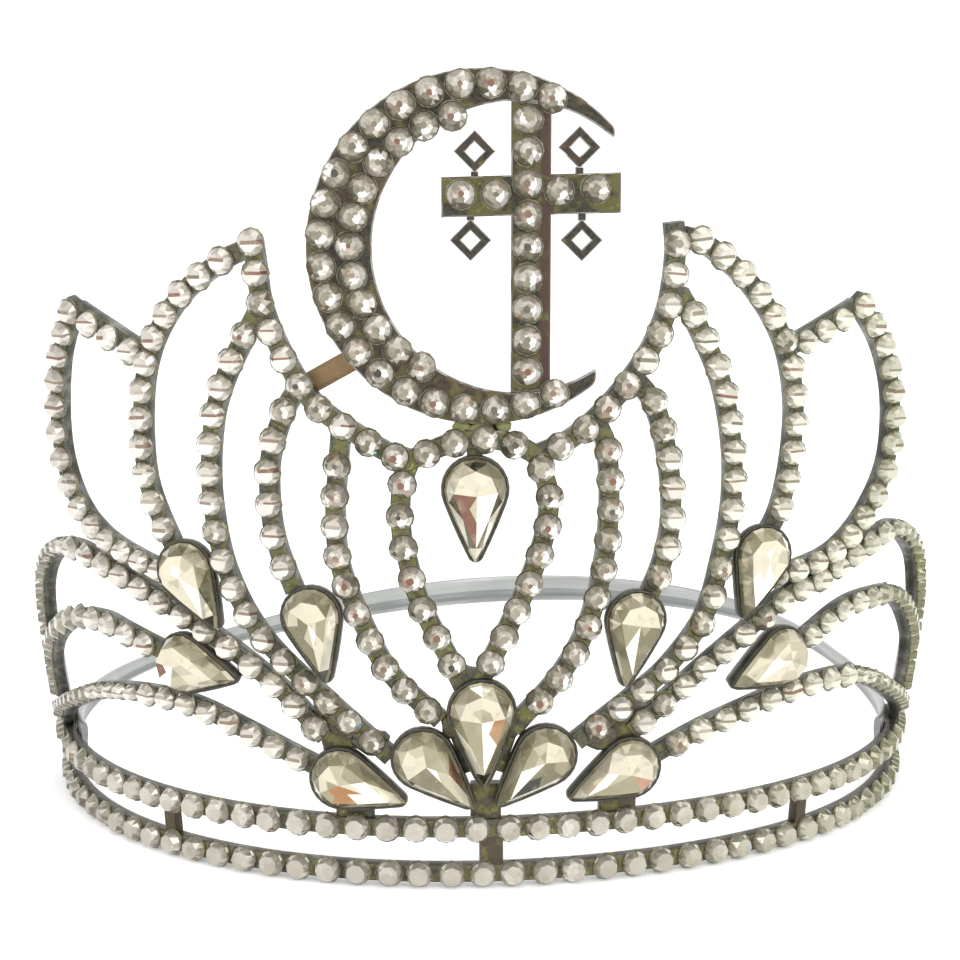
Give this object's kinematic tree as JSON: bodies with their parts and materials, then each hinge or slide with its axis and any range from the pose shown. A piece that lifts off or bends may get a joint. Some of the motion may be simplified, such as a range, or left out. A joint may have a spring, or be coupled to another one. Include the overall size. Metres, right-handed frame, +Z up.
{
  "type": "fraternal regalia crown",
  "caption": "Silvered strip-metal crown with crystal rows, a petalled front, a crescent and cross above it and a plain open back band.",
  "frame": {"origin": "middle of the ring, on the surface the crown stands on", "axes": "+Z up, -Y towards the front with the crescent, +X towards the right side as seen from the front"},
  "size_m": [0.1592, 0.1836, 0.1263],
  "materials": {
    "silvered_metal": "worn silver plating with brown and green tarnish",
    "crystal": "cut and foil-backed, with a worn foil"
  },
  "bodies": {
    "root": {"base_hoops": "silvered_metal", "back_band": "silvered_metal", "crest_petals": "silvered_metal", "left_petals": "silvered_metal", "right_petals": "silvered_metal", "left_outer_petals": "silvered_metal", "right_outer_petals": "silvered_metal", "left_side_loops": "silvered_metal", "right_side_loops": "silvered_metal", "crescent": "silvered_metal", "cross": "silvered_metal", "stay_bar": "silvered_metal", "hoop_stones_lower": "crystal", "hoop_stones_upper": "crystal", "crescent_stones": "crystal", "cross_stones": "crystal", "crest_stones": "crystal", "left_petal_stones": "crystal", "right_petal_stones": "crystal", "pendant_stone": "crystal", "fan_stone_middle": "crystal", "fan_stone_left": "crystal", "fan_stone_right": "crystal", "fan_stone_far_left": "crystal", "fan_stone_far_right": "crystal", "left_petal_stone": "crystal", "right_petal_stone": "crystal", "left_outer_stone": "crystal", "right_outer_stone": "crystal", "left_loop_stone": "crystal", "right_loop_stone": "crystal"}
  },
  "joints": []
}
